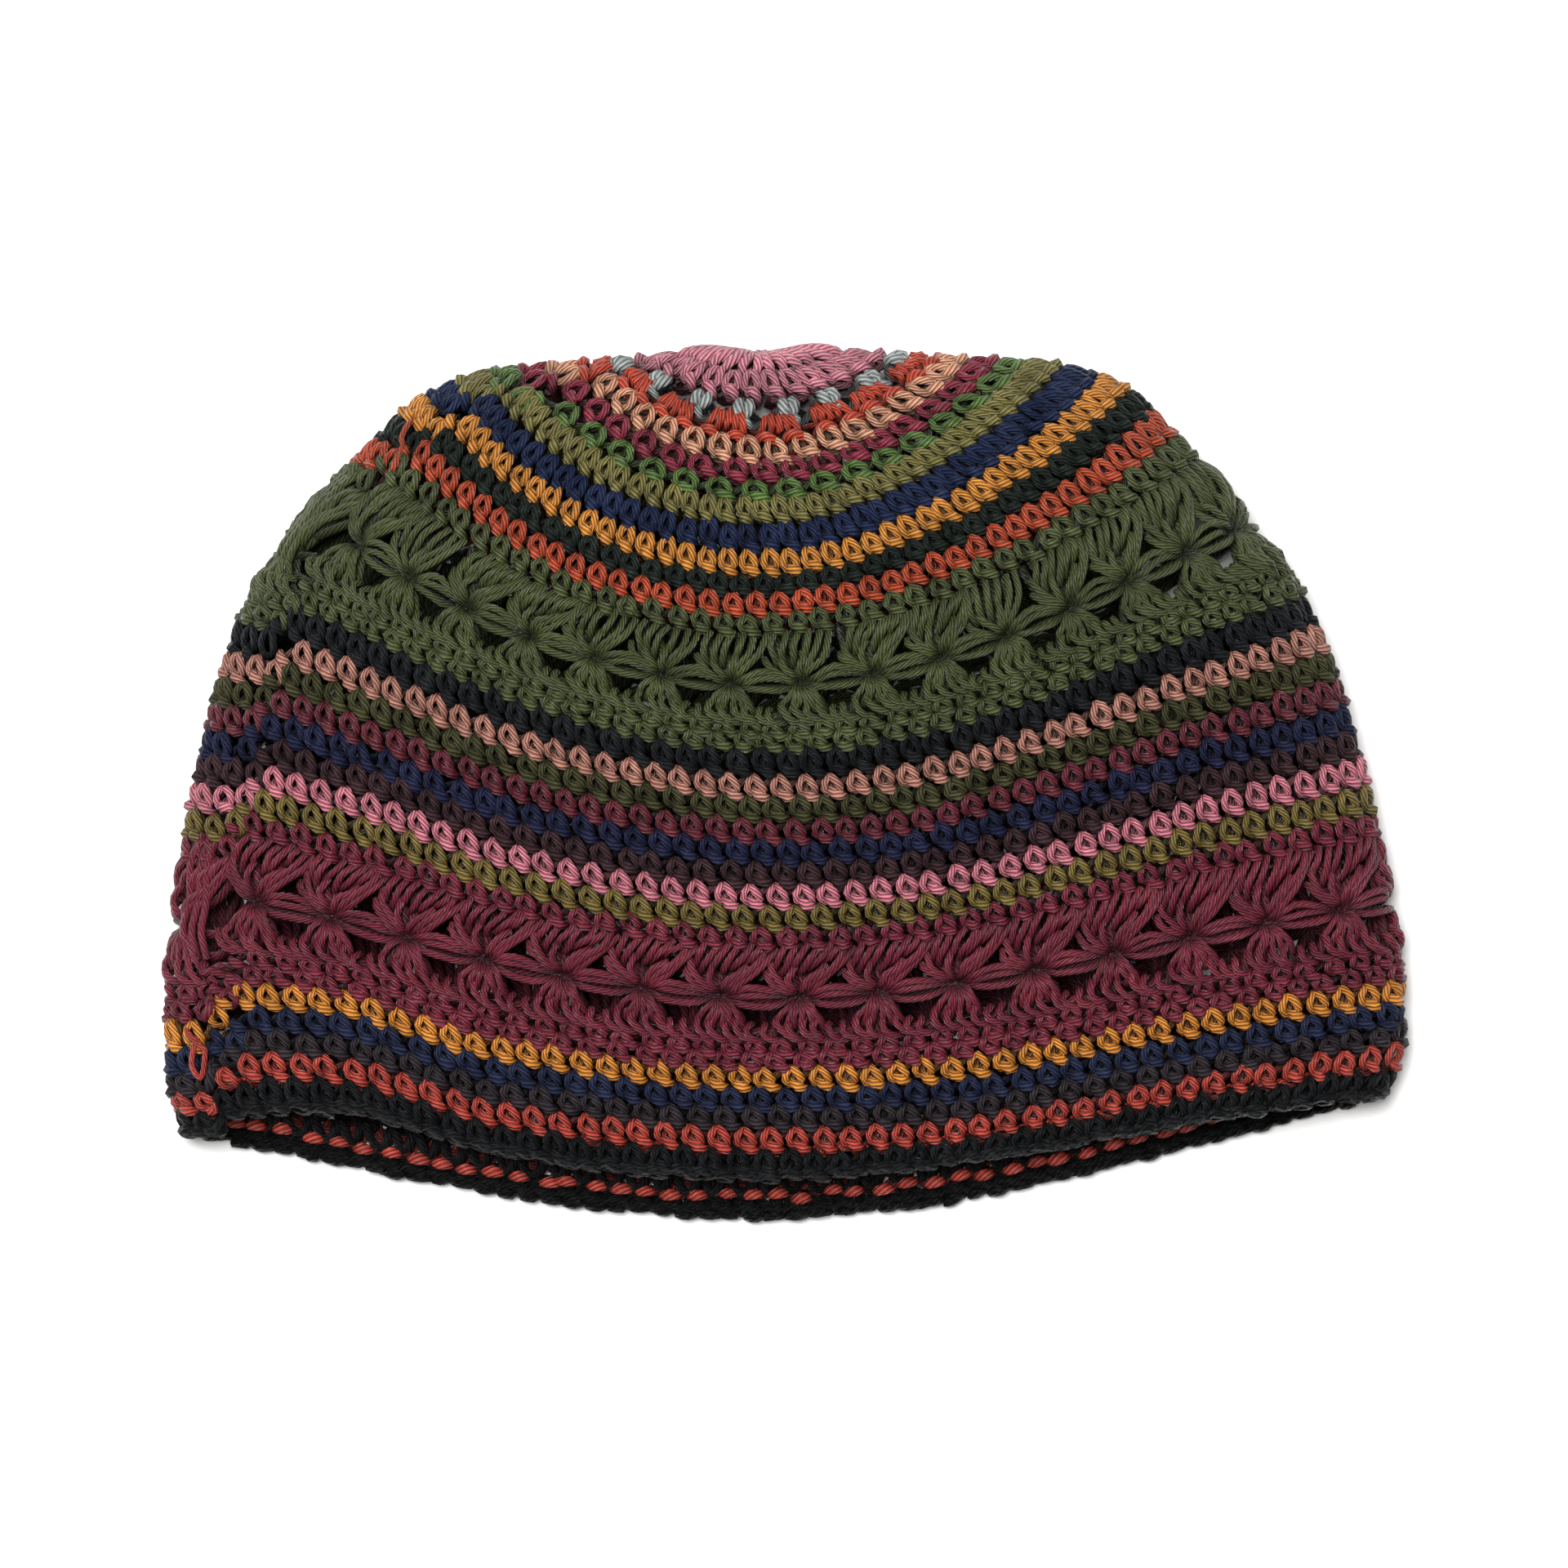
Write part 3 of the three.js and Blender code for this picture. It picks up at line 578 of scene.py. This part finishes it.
GREEN_FAN = [
    [(-0.05, -0.02, -1.6), (-0.18, -0.08, 0.6), (-0.34, -0.2, 1.3), (-0.48, -0.33, 1.3),
     (-0.55, -0.52, 0.1)],
    [(-0.04, -0.06, -1.6), (-0.13, -0.18, 0.9), (-0.22, -0.28, 1.5), (-0.29, -0.38, 1.4),
     (-0.32, -0.5, 0.2)],
    [(-0.01, -0.08, -1.6), (-0.05, -0.22, 0.9), (-0.03, -0.36, 1.6), (0.0, -0.48, 1.4),
     (0.02, -0.6, 0.1)],
    [(-0.36, -0.36, -0.3), (-0.43, -0.54, 1.2), (-0.45, -0.76, 1.7), (-0.4, -1.0, 0.4)],
    [(-0.27, -0.38, -0.3), (-0.29, -0.56, 1.2), (-0.28, -0.78, 1.7), (-0.22, -1.0, 0.4)],
    [(-0.15, -0.34, -0.3), (-0.15, -0.52, 1.1), (-0.12, -0.76, 1.7), (-0.05, -1.0, 0.4)],
    [(0.02, -0.4, -0.3), (0.05, -0.58, 1.1), (0.08, -0.78, 1.6), (0.12, -1.0, 0.4)],
    [(0.01, -0.08, -1.6), (0.03, -0.24, 0.9), (0.13, -0.44, 1.7), (0.23, -0.66, 1.9),
     (0.28, -0.98, 0.4)],
    [(0.03, -0.06, -1.6), (0.09, -0.22, 0.9), (0.24, -0.4, 1.8), (0.37, -0.62, 2.0),
     (0.44, -0.97, 0.4)],
    [(0.05, -0.03, -1.6), (0.15, -0.11, 0.8), (0.34, -0.23, 1.5), (0.54, -0.25, 1.4),
     (0.7, -0.13, 0.8), (0.93, -0.03, -1.6)],
    [(0.05, -0.02, -1.6), (0.2, -0.04, 0.6), (0.4, -0.12, 1.0), (0.62, -0.12, 0.9),
     (0.94, -0.01, -1.6)],
    [(0.05, 0.02, -1.6), (0.2, 0.08, 0.6), (0.42, 0.12, 1.1), (0.68, 0.14, 0.8),
     (0.94, 0.03, -1.6)],
]
LOWER_FAN = [
    [(-0.04, 0.03, -1.6), (-0.12, 0.13, 0.7), (-0.21, 0.28, 1.2), (-0.28, 0.46, 1.1),
     (-0.3, 0.64, 0.0)],
    [(-0.03, 0.05, -1.6), (-0.08, 0.18, 0.9), (-0.13, 0.36, 1.4), (-0.18, 0.54, 1.1),
     (-0.2, 0.7, 0.0)],
    [(-0.01, 0.07, -1.6), (-0.03, 0.2, 0.9), (-0.06, 0.38, 1.4), (-0.09, 0.56, 1.1),
     (-0.1, 0.72, 0.0)],
    [(0.0, 0.07, -1.6), (0.02, 0.2, 0.9), (0.03, 0.38, 1.4), (0.03, 0.56, 1.1), (0.02, 0.72, 0.0)],
    [(0.02, 0.07, -1.6), (0.07, 0.2, 0.9), (0.11, 0.36, 1.4), (0.14, 0.54, 1.1), (0.15, 0.7, 0.0)],
    [(0.03, 0.05, -1.6), (0.11, 0.16, 0.9), (0.18, 0.32, 1.4), (0.24, 0.5, 1.2), (0.28, 0.7, 0.2)],
]
# The strands on the inner side of a wheel, which close it from behind.
INNER_FAN = [
    [(-0.02, -0.06, -1.5), (-0.2, -0.34, -1.7), (-0.34, -0.62, -1.7), (-0.42, -0.98, -1.2)],
    [(0.0, -0.06, -1.5), (-0.09, -0.4, -1.7), (-0.16, -0.68, -1.7), (-0.2, -1.0, -1.2)],
    [(0.0, -0.06, -1.5), (0.03, -0.4, -1.7), (0.06, -0.68, -1.7), (0.06, -1.0, -1.2)],
    [(0.02, -0.06, -1.5), (0.16, -0.38, -1.7), (0.24, -0.68, -1.7), (0.28, -1.0, -1.2)],
    [(-0.02, 0.06, -1.5), (-0.17, 0.34, -1.7), (-0.28, 0.66, -1.7), (-0.36, 1.0, -1.2)],
    [(0.0, 0.06, -1.5), (0.0, 0.38, -1.7), (0.0, 0.68, -1.7), (-0.02, 1.0, -1.2)],
    [(0.02, 0.06, -1.5), (0.17, 0.34, -1.7), (0.26, 0.66, -1.7), (0.32, 1.0, -1.2)],
    [(0.02, 0.04, -1.3), (0.35, 0.1, -1.6), (0.65, 0.1, -1.6), (0.98, 0.04, -1.3)],
    [(0.3, 0.8, -1.5), (0.45, 0.86, -1.8), (0.6, 0.84, -1.8), (0.7, 0.95, -1.4)],
]
# In the lower layer, which lies flat, the eyelets are pulled together.
PULLED_TOGETHER = [
    [(0.2, 0.4, -1.4), (0.42, 0.55, -1.7), (0.62, 0.5, -1.7), (0.85, 0.3, -1.4)],
    [(0.15, -0.3, -1.4), (0.38, -0.42, -1.7), (0.55, -0.6, -1.7), (0.65, -0.95, -1.4)],
]
# The loops at the foot of the lower fan, which the plain round below is hooked into.
FOOT_LOOP = [
    (0.0, 0.46, 0.0), (-0.03, 0.56, 1.5), (-0.02, 0.7, 1.9), (0.05, 0.85, 1.7), (0.15, 0.95, 1.0),
    (0.24, 0.97, -0.4),
]
FOOT_LOOPS = 6  # under each wheel
WHEELS = 32
CROSSING = 3  # strands of an upper fan that run across to the next wheel, the last ones listed


def wheel_band(fans, hole_at, rise, fall, start):
    """Runs of yarn of a round of wheels: its kinds of upper fan, the round of its holes, the
    heights in rounds of the upper and the lower fan, and the place of the first wheel, in wheels
    from the seam."""
    runs = []

    def lay(wheel, way, thickness, count):
        way = np.array(way) + hand.normal(0, 0.014, (len(way), 3)) * (1, 1, 10)
        way[:, 0] += wheel + start
        heights = np.where(way[:, 1] < 0, rise, fall)
        spots = on_cap(way[:, 0] / WHEELS, hole_at + way[:, 1] * heights, way[:, 2])
        run = np.column_stack([spots, np.full(len(way), thickness), way[:, 2]])
        runs.append(smooth_run(run, count))

    for wheel in range(WHEELS):
        fan = fans[hand.integers(len(fans))]
        if wheel == WHEELS - 1:
            fan = fan[:-CROSSING]  # nothing runs across over the seam
        for way in fan:
            lay(wheel, way, hand.uniform(0.84, 0.98), 9)
        for way in LOWER_FAN:
            lay(wheel, way, hand.uniform(0.76, 0.9), 8)
        for way in INNER_FAN + (PULLED_TOGETHER if wheel > WHEELS / 2 else []):
            lay(wheel, way, 1.25, 6)
        for loop in range(FOOT_LOOPS):
            lean = hand.normal(0.06, 0.1)
            low = 0.28 if loop in (0, FOOT_LOOPS - 1) else 0.0  # lower beside the eyelet
            foot = [(across + (loop - 2.75) / FOOT_LOOPS + lean * (down_by - 0.46),
                     down_by + low * (1 - down_by), height)
                    for across, down_by, height in FOOT_LOOP]
            lay(wheel, foot, hand.uniform(0.86, 1.05), 8)
    for strand in range(3):  # the chain that starts the round stands at the seam
        side = (strand - 2.6) * 0.12 - start
        lay(0, [(side + 0.03, -0.98, 0.6), (side - 0.03, -0.55, 1.4), (side + 0.02, 0, 1.5),
                (side - 0.04, 0.5, 1.4), (side + 0.02, 0.98, 0.4)], 1.0, 12)
    return runs


# Node, yarn, colour, kinds of fan, the round of its holes, rise and fall of the fans, start of the
# wheels, and the plain rounds: stitches, first round and height.
WHEEL_BANDS = [
    ("green_wheel_band", "olive green cotton yarn", "4a5328",
     [GREEN_FAN, WINE_FAN], 16.9, 2.55, 1.8, 0.8,
     [(84, 13.4, 0.95), (96, 18.55, 0.65), (96, 19.15, 0.7)]),
    ("wine_wheel_band", "wine cotton yarn", "7b2034",
     [WINE_FAN], 31.3, 2.55, 2.1, 0.58,
     [(96, 28.0, 0.85), (96, 33.3, 0.7), (96, 33.95, 0.7)]),
]
for node, yarn_name, colour, fans, hole_at, rise, fall, start, courses in WHEEL_BANDS:
    runs = wheel_band(fans, hole_at, rise, fall, start)
    for number, (count, top, tall) in enumerate(courses):
        runs.append(crochet_round(SINGLE_CROCHET, count, top, tall,
                                  shift=-STAGGER * number % 1, points=20, loose=0.06))
    finish_piece(lay_yarn(node + "_yarn", runs), node, cotton(f"{yarn_name}, {node}", colour))


# ------------------------------------------------------------------ The crown
# The cap starts here, in finer, looser stitches: a disc of tall rose stitches round a small ring,
# a round of rose arches, pairs of blue-grey loops, red fans and tall peach arches.

# Two long strands side by side, drawn from the ring at the centre out to the arches round it.
LONG_PAIR = np.array([
    (0.25, 0.0, -0.6, 0.85), (0.3, 0.12, 1.0, 1.0), (0.22, 0.5, 1.7, 1.35), (0.24, 0.9, 1.4, 1.3),
    (0.4, 1.08, -0.4, 0.9), (0.66, 1.06, -0.2, 0.9), (0.78, 0.88, 1.4, 1.3), (0.78, 0.5, 1.8, 1.4),
    (0.7, 0.12, 1.0, 1.0), (0.74, 0.0, -0.6, 0.85), (1.0, 0.4, -1.2, 0.9),
])
# A pair of short upright legs close together, and a tail that runs down between the stitches below.
LOOP_PAIR = np.array([
    (0.3, 1.28, 0.5, 0.8),
    (0.36, 1.2, -0.5, 0.8),
    (0.5, 1.0, -1.1, 0.9),
    (0.8, 0.5, -1.2, 1.0),
    (1.05, 0.1, -0.4, 0.9),
    (1.05, 0.08, 0.9, 1.1),
    (1.04, 0.4, 1.7, 1.5),
    (1.06, 0.72, 1.2, 1.35),
    (1.14, 0.85, -0.2, 0.85),
    (1.24, 0.75, 1.1, 1.3),
    (1.29, 0.42, 1.7, 1.5),
    (1.25, 0.1, 0.9, 1.1),
    (1.2, 0.08, -0.5, 0.85),
    (1.16, 0.5, -1.0, 1.0),
    (1.14, 0.9, -0.3, 0.9),
    (1.2, 1.02, 1.1, 1.1),
    (1.27, 1.2, 1.2, 0.95),
])
# A fan of five upright strands, and the two plump top loops under it.
FAN = []
for leg, foot in ((-2, 0.72), (-1, 0.76), (0, 0.78), (1, 0.82), (2, 0.98)):
    FAN += [(0.5 + leg * 0.17, foot, -0.5, 0.8), (0.5 + leg * 0.17, foot - 0.08, 0.8, 0.95),
            (0.5 + leg * 0.145, foot / 2, 1.6, 1.05), (0.5 + leg * 0.115, 0.06, 0.9, 0.95),
            (0.5 + leg * 0.115, 0.04, -0.6, 0.8), (0.5 + leg * 0.15, 0.4, -1.1, 0.8)]
FAN = np.array(FAN)
TOP_LOOPS = np.array([
    (0.08, 1.0, -0.6, 0.9), (0.18, 0.9, 0.9, 1.15), (0.3, 0.92, 1.4, 1.4), (0.42, 1.02, 0.8, 1.15),
    (0.5, 1.08, -0.6, 0.9), (0.58, 1.0, -0.6, 0.9), (0.68, 0.92, 0.9, 1.15), (0.8, 0.94, 1.4, 1.4),
    (0.92, 1.04, 0.8, 1.15), (1.0, 1.08, -0.6, 0.9),
])
# Node, yarn, colour, and its courses: stitch, stitches round, first round, height, and shift.
CROWN_ROUNDS = [
    ("rose_crown_center", "rose cotton yarn", "d1808f",
     [(LONG_PAIR, 13, 0.25, 1.6, 0), (SINGLE_CROCHET, 26, 1.85, 1.35, 0)]),
    ("grey_round", "blue-grey cotton yarn", "9aa19e", [(LOOP_PAIR, 16, 3.45, 0.95, 0)]),
    ("vermilion_round", "vermilion cotton yarn", "be3f23",
     [(FAN, 16, 4.0, 1.3, 0.41), (TOP_LOOPS, 16, 4.0, 1.3, 0.41)]),
    ("peach_round", "peach cotton yarn", "dc9d7b", [(SINGLE_CROCHET, 35, 5.2, 1.25, 0)]),
]
for node, yarn_name, colour, courses in CROWN_ROUNDS:
    runs = [crochet_round(stitch, count, top, tall, shift)
            for stitch, count, top, tall, shift in courses]
    finish_piece(lay_yarn(node + "_yarn", runs), node, cotton(f"{yarn_name}, {node}", colour))
